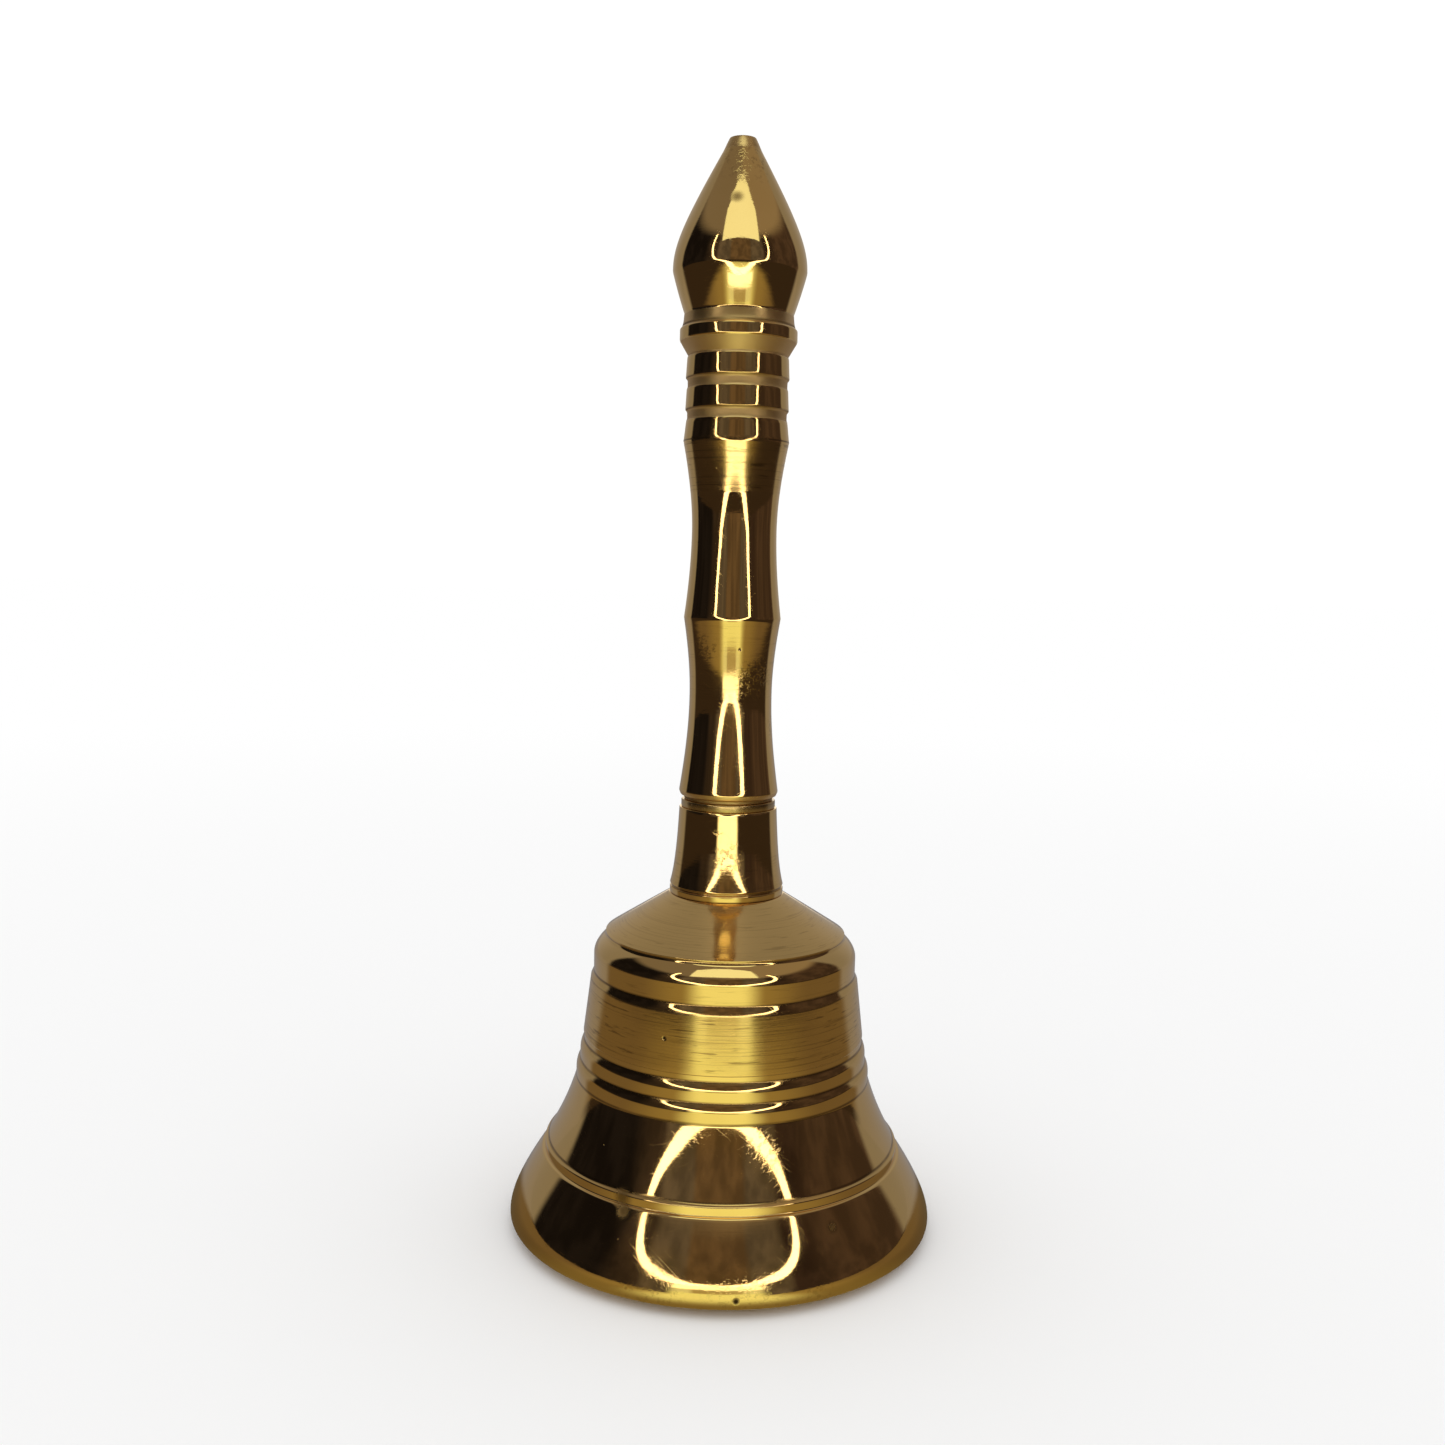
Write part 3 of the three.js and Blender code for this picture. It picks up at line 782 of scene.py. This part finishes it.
def make_nut():
    """A hexagon bar end, chamfered by turning and bored."""
    start_afresh()
    middle = (NUT_FOOT + NUT_TOP) / 2
    bpy.ops.mesh.primitive_cylinder_add(vertices=6, radius=NUT_CORNER * MM,
                                        depth=(NUT_TOP - NUT_FOOT) * MM,
                                        location=(0, 0, middle * MM),
                                        rotation=(0, 0, math.radians(30)))
    nut = bpy.context.object
    nut.name = "crown_nut_hexagon"
    settle(nut)
    flat = NUT_CORNER * math.cos(math.radians(30))
    bore = STUD + 0.15
    blank = Outline(bore + 0.25, NUT_FOOT).line(flat - 0.1, NUT_FOOT)
    blank.line(NUT_CORNER + 0.3, NUT_FOOT + 0.55).line(NUT_CORNER + 0.3, NUT_TOP)
    blank.line(bore, NUT_TOP).line(bore, NUT_FOOT + 0.25).line(bore + 0.25, NUT_FOOT)
    join_solid(nut, turned("nut_blank", blank.divide(1.0), steps=96), "INTERSECT")
    modify(nut, "BEVEL", width=0.08 * MM, segments=2, limit_method="ANGLE",
           angle_limit=math.radians(25))
    return nut


nut = make_nut()
nut.data.materials.clear()
nut.data.materials.append(steel)
smooth(nut, angle=30)
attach(nut, "bell")
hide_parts("crown_nut")

crown_washer = turned("crown_washer_flat", draw_washer("crown_washer", STUD_HOLE), steps=96)
crown_washer.data.materials.append(steel)
smooth(crown_washer)
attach(crown_washer, "bell")
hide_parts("crown_washer")


# ------------------------------------------------------------------ link and clapper

LINK_FOOT, LINK_TOP, LINK_WIRE = extent("clapper_link")
LINK_LEVEL = (LINK_FOOT + LINK_TOP) / 2
LINK_RING = (LINK_TOP - LINK_FOOT) / 2 - LINK_WIRE

link = bent_wire("clapper_link_wire", LINK_RING, LINK_WIRE, LINK_LEVEL, AXIS_ACROSS)
link.data.materials.append(steel)
smooth(link, angle=40)
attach(link, "link")
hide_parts("clapper_link")

SHANK_FOOT, SHANK_TOP, SHANK_EYE = extent("clapper_shank")
BALL_FOOT, BALL_TOP, BALL = extent("clapper_ball")
SHANK_WIRE = 0.9
SHANK_RING = SHANK_EYE - SHANK_WIRE
EYE_MIDDLE = SHANK_TOP - SHANK_EYE
SHANK = 1.6
SEAT = 2.3


def draw_shank():
    top = EYE_MIDDLE - SHANK_RING
    shank = Outline(0, SHANK_FOOT).line(SHANK, SHANK_FOOT).line(SEAT, BALL_FOOT - 0.25)
    shank.line(SEAT, BALL_FOOT).line(SHANK, BALL_FOOT).line(SHANK, BALL_TOP)
    shank.line(SEAT, BALL_TOP).curve(SHANK, BALL_TOP + 0.5, SHANK, BALL_TOP + 2.3, steps=10)
    shank.line(SHANK - 0.1, top - 0.8).line(SHANK - 0.3, top).line(0, top)
    return shank.soften(0.1).divide(0.4)


shank = turned("clapper_shank_turned", draw_shank(), steps=72)
join_solid(shank, bent_wire("shank_eye", SHANK_RING, SHANK_WIRE, EYE_MIDDLE, AXIS_DEEP))
clapper_brass = cast_brass("clapper_dull_brass")
shank.data.materials.clear()
shank.data.materials.append(clapper_brass)
smooth(shank, angle=40)
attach(shank, "clapper")
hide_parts("clapper_shank")


def draw_ball():
    """A cast ball, flat where it meets the shank, with a trace of its mould's seam."""
    middle = (BALL_FOOT + BALL_TOP) / 2
    start = math.asin(SEAT / BALL)
    bore = SHANK + 0.2
    seam_height, seam_width = 0.05, 0.035
    steps = 48
    ball = Outline(bore, BALL_FOOT).line(SEAT, BALL_FOOT)
    for i in range(1, steps):
        angle = start + (math.pi - 2 * start) * i / steps
        seam = seam_height * math.exp(-((angle - math.pi / 2) / seam_width) ** 2)
        radius = BALL - 0.06 + seam
        ball.line(radius * math.sin(angle), middle - radius * math.cos(angle))
    ball.line(SEAT, BALL_TOP).line(bore, BALL_TOP).line(bore, BALL_FOOT)
    return ball.soften(0.12, sharp=40)


ball = turned("clapper_ball_cast", draw_ball(), steps=96)
ball.data.materials.append(clapper_brass)
smooth(ball)
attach(ball, "clapper")
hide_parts("clapper_ball")


# ------------------------------------------------------------------ studio

FRONT = -0.220
UPRIGHT = (math.radians(90), 0, 0)
NO_TURN = (0, 0, 0)

LAMP_WHITE = (1.0, 0.97, 0.86, 1.0)
PANEL_WHITE = (1.0, 1.16, 1.02, 1.0)
EDGE_PALE = (0.80, 0.90, 0.62, 1.0)
EDGE_OLIVE = (0.46, 0.43, 0.24, 1.0)
EDGE_GOLD = (1.0, 1.15, 0.62, 1.0)
EDGE_BRIGHT = (2.2, 2.3, 2.0, 1.0)
TABLE_GOLD = (0.30, 0.25, 0.11, 1.0)
TABLE_TAN = (0.165, 0.128, 0.075, 1.0)
TABLE_DARK = (0.035, 0.026, 0.022, 1.0)
TABLE_BRIGHT = (1.0, 1.12, 0.62, 1.0)
TABLE_GREY = (0.28, 0.28, 0.30, 1.0)
PALE_FLOOR = (0.93, 0.93, 0.93, 1.0)
WHITE = (1.0, 1.0, 1.0, 1.0)


class Card(Nodes):
    """A card with an unlit pattern; lengths in the pattern are millimetres."""

    def __init__(self, name, size, place, turn=NO_TURN):
        start_afresh()
        bpy.ops.mesh.primitive_plane_add(size=1.0, location=place, rotation=turn)
        made = bpy.context.object
        made.name = name
        made.scale = (size[0], size[1], 1)
        settle(made)
        material = bpy.data.materials.new(name)
        material.use_nodes = True
        made.data.materials.append(material)
        self.piece = made
        super().__init__(material.node_tree)
        self.tree.nodes.clear()
        self.measure()

    def only_for_gloss(self):
        """It is seen in the metal, and lights or hides nothing else."""
        self.piece.visible_camera = False
        self.piece.visible_diffuse = False
        self.piece.visible_shadow = False
        self.piece.visible_transmission = False
        self.piece.visible_volume_scatter = False

    def light(self, colour, strength=1.0):
        return self.feed(self.node("ShaderNodeEmission"), colour, strength)

    def clear(self):
        return self.node("ShaderNodeBsdfTransparent").outputs[0]

    def show(self, shader):
        self.join(shader, self.node("ShaderNodeOutputMaterial").inputs[0])

    def show_where(self, mask, light):
        """Lit where mask is one, and clear where it is nothing."""
        self.show(self.mix_shaders(mask, self.clear(), light))


def hang_lamp():
    """In front: a bright strip bent like a U, wider towards its two ends."""
    centre, lowest_reach, opening, top = 200.0, 147.0, 33.0, 410.0
    thin, wide, blur = 5.0, 13.0, 1.5
    g = Card("lamp_frame", (0.9, 0.64), (0, FRONT, 0.30), UPRIGHT)
    g.only_for_gloss()
    side = g.math("ABSOLUTE", g.across)
    drop = g.math("SUBTRACT", centre, g.level)
    turn = g.math("ARCTAN2", side, drop)
    away = g.vector("LENGTH", g.combine(side, drop))
    # the strip's middle lies further out as it turns up
    reach_out = g.math("MULTIPLY_ADD", g.math("POWER", turn, 2.0), opening, lowest_reach)
    off = g.math("ABSOLUTE", g.math("SUBTRACT", away, reach_out))
    half = g.ramp(turn, 0.25, 0.85, thin, wide)
    strip = g.fade(g.math("SUBTRACT", off, half), -blur, blur)
    strip = g.math("MULTIPLY", strip, g.math("LESS_THAN", g.level, top))
    g.show_where(strip, g.light(LAMP_WHITE, 3.6))


def light_table_edge():
    """The lit edge of the table, under the lamp."""
    g = Card("table_edge_glow", (0.22, 0.052), (0, FRONT + 0.005, 0.0265), UPRIGHT)
    g.only_for_gloss()
    side = g.math("ABSOLUTE", g.across)
    middle = g.mix(g.fade(side, 38.0, 52.0), EDGE_PALE, EDGE_OLIVE)
    lit = g.mix(g.ramp(g.level, 12.0, 20.0), EDGE_GOLD, middle)
    lit = g.mix(g.ramp(g.level, 33.0, 41.0), lit, EDGE_BRIGHT)
    g.show_where(g.fade(side, 70.0, 102.0), g.light(lit))


def hang_high_panel():
    """A soft panel high in front, round at its near end and wider away from the bell."""
    start, round_over, blur = 98.0, 30.0, 6.0
    g = Card("high_panel", (0.60, 0.30), (0, -0.20, 0.42))
    g.only_for_gloss()
    near_end = g.math("MULTIPLY_ADD", g.deep, -1 / round_over, -start / round_over, clamp=True)
    widening = g.math("MULTIPLY_ADD", g.deep, -0.555, 43.0)
    edge = g.math("MULTIPLY", g.math("SQRT", near_end), widening)
    over = g.math("SUBTRACT", g.math("ABSOLUTE", g.across), edge)
    panel = g.math("MULTIPLY", g.fade(over, -blur, blur), g.math("GREATER_THAN", near_end, 0.01))
    g.show_where(panel, g.light(PANEL_WHITE, 1.05))


def lay_table_glow():
    """The table top: golden near the bell, bright in a wedge in front, and dark beyond."""
    g = Card("table_glow", (3.0, 3.0), (0, 0, -0.0004))
    g.only_for_gloss()
    far = g.from_axis()
    bearing = g.math("ARCTAN2", g.math("ABSOLUTE", g.across), g.math("MULTIPLY", g.deep, -1.0))
    wedge = g.math("MULTIPLY", g.fade(bearing, 0.24, 0.60), g.ramp(far, 30.0, 40.0))
    wedge = g.math("MULTIPLY", wedge, g.fade(far, 360.0, 520.0))
    # the golden part reaches further in front than at the sides
    narrowed = g.math("MULTIPLY", g.across, 1.30)
    golden = g.fade(g.vector("LENGTH", g.combine(narrowed, g.deep)), 410.0, 500.0)
    cloth = g.mix(g.ramp(bearing, 0.55, 1.3), TABLE_GOLD, TABLE_TAN)
    cloth = g.mix(golden, TABLE_DARK, cloth)
    cloth = g.mix(wedge, cloth, TABLE_BRIGHT)
    cloth = g.mix(g.ramp(bearing, 1.93, 2.1), cloth, TABLE_GREY)
    near_shade = g.ramp(far, 29.0, 55.0, 0.7, 1.0)
    g.show(g.light(cloth, near_shade))


def lay_floor():
    """A pale floor, evenly white further out; nothing hides the bell's mouth from below."""
    g = Card("pale_floor", (14.0, 14.0), (0, 0, -0.0008))
    g.piece.visible_glossy = False
    paper = g.node("ShaderNodeBsdfDiffuse")
    paper.inputs["Color"].default_value = PALE_FLOOR
    top = g.mix_shaders(g.ramp(g.from_axis(), 90.0, 700.0), paper.outputs[0], g.light(WHITE))
    below = g.node("ShaderNodeNewGeometry").outputs["Backfacing"]
    g.show(g.mix_shaders(below, top, g.clear()))


hang_lamp()
light_table_edge()
hang_high_panel()
lay_table_glow()
lay_floor()

# what the metal mirrors of the room; left and right are as seen from the camera
LEFT_DARK = (0.011, 0.010, 0.014, 1.0)
RIGHT_DARK = (0.066, 0.048, 0.046, 1.0)
LEFT_DUSK = (0.045, 0.036, 0.036, 1.0)
RIGHT_DUSK = (0.035, 0.025, 0.026, 1.0)
SIDE_GREY = (0.115, 0.105, 0.11, 1.0)
MIDDLE_BROWN = (0.125, 0.094, 0.072, 1.0)
LEFT_HIGH = (0.20, 0.185, 0.18, 1.0)
RIGHT_HIGH = (0.27, 0.24, 0.21, 1.0)
SIDE_WALL = (0.26, 0.26, 0.27, 1.0)
BACK_WALL = (0.36, 0.36, 0.37, 1.0)
WINDOW = (1.3, 1.28, 1.2, 1.0)


def lay_world():
    """White for the eye and the floor; for the metal, a dim room with a lighter wall behind."""
    world = bpy.data.worlds.new("studio")
    bpy.context.scene.world = world
    world.use_nodes = True
    world.cycles.sampling_method = "NONE"
    world.node_tree.nodes.clear()
    w = Nodes(world.node_tree)
    way = w.node("ShaderNodeTexCoord").outputs["Generated"]
    x, y, z = w.split(way)
    bearing = w.math("ARCTAN2", x, w.math("MULTIPLY", y, -1.0))
    bearing = w.math("MULTIPLY", bearing, math.degrees(1))
    turn = w.math("ABSOLUTE", bearing)
    rise = w.math("MULTIPLY", w.math("ARCSINE", z), math.degrees(1))

    # from far out at the sides to straight in front
    right = w.ramp(bearing, -12.0, 12.0)
    room = w.mix(right, LEFT_DARK, RIGHT_DARK)
    room = w.mix(w.fade(turn, 48.0, 66.0), room, w.mix(right, LEFT_DUSK, RIGHT_DUSK))
    room = w.mix(w.fade(turn, 36.0, 42.0), room, SIDE_GREY)
    room = w.mix(w.fade(turn, 15.0, 19.0), room, MIDDLE_BROWN)
    # dim things in the room, too soft to make out
    spot = w.vector("MULTIPLY", way, (4.5, 4.5, 3.0))
    cloud = w.noise(size=1.0, detail=3.0, roughness=0.6, at=spot)
    room = w.vector("SCALE", room, scale=w.ramp(cloud, 0.38, 0.62, 0.70, 1.15))
    room = w.mix(w.ramp(rise, 37.0, 47.0), room, w.mix(right, LEFT_HIGH, RIGHT_HIGH))
    wall = w.mix(w.ramp(turn, 125.0, 165.0), SIDE_WALL, BACK_WALL)
    room = w.mix(w.ramp(turn, 112.0, 118.0), room, wall)
    # a tall soft window straight behind, which only the back of the bell shows
    window = w.math("MULTIPLY", w.ramp(turn, 166.0, 172.0), w.fade(rise, 44.0, 50.0))
    room = w.mix(window, room, WINDOW)

    for_rest = w.feed(w.node("ShaderNodeBackground"), WHITE, 1.02)
    for_gloss = w.feed(w.node("ShaderNodeBackground"), room)
    gloss = w.node("ShaderNodeLightPath").outputs["Is Glossy Ray"]
    seen = w.mix_shaders(gloss, for_rest, for_gloss)
    w.join(seen, w.node("ShaderNodeOutputWorld").inputs[0])


lay_world()


# ------------------------------------------------------------------ camera

def set_camera():
    """Near and a little above the handle's foot, looking slightly down, and not quite level."""
    data = bpy.data.cameras.new("camera")
    data.sensor_width = 36.0
    data.lens = 35.48
    data.clip_start = 0.01
    camera = bpy.data.objects.new("camera", data)
    bpy.context.scene.collection.objects.link(camera)
    down, pan, roll = math.radians(6.0), math.radians(0.30), math.radians(1.27)
    look = (Matrix.Rotation(pan, 4, "Z") @ Matrix.Rotation(math.radians(90) - down, 4, "X")
            @ Matrix.Rotation(roll, 4, "Z"))
    camera.matrix_world = Matrix.Translation((0, -0.1987, 0.0919)) @ look
    bpy.context.scene.camera = camera


set_camera()
bpy.context.scene.view_settings.view_transform = "Standard"
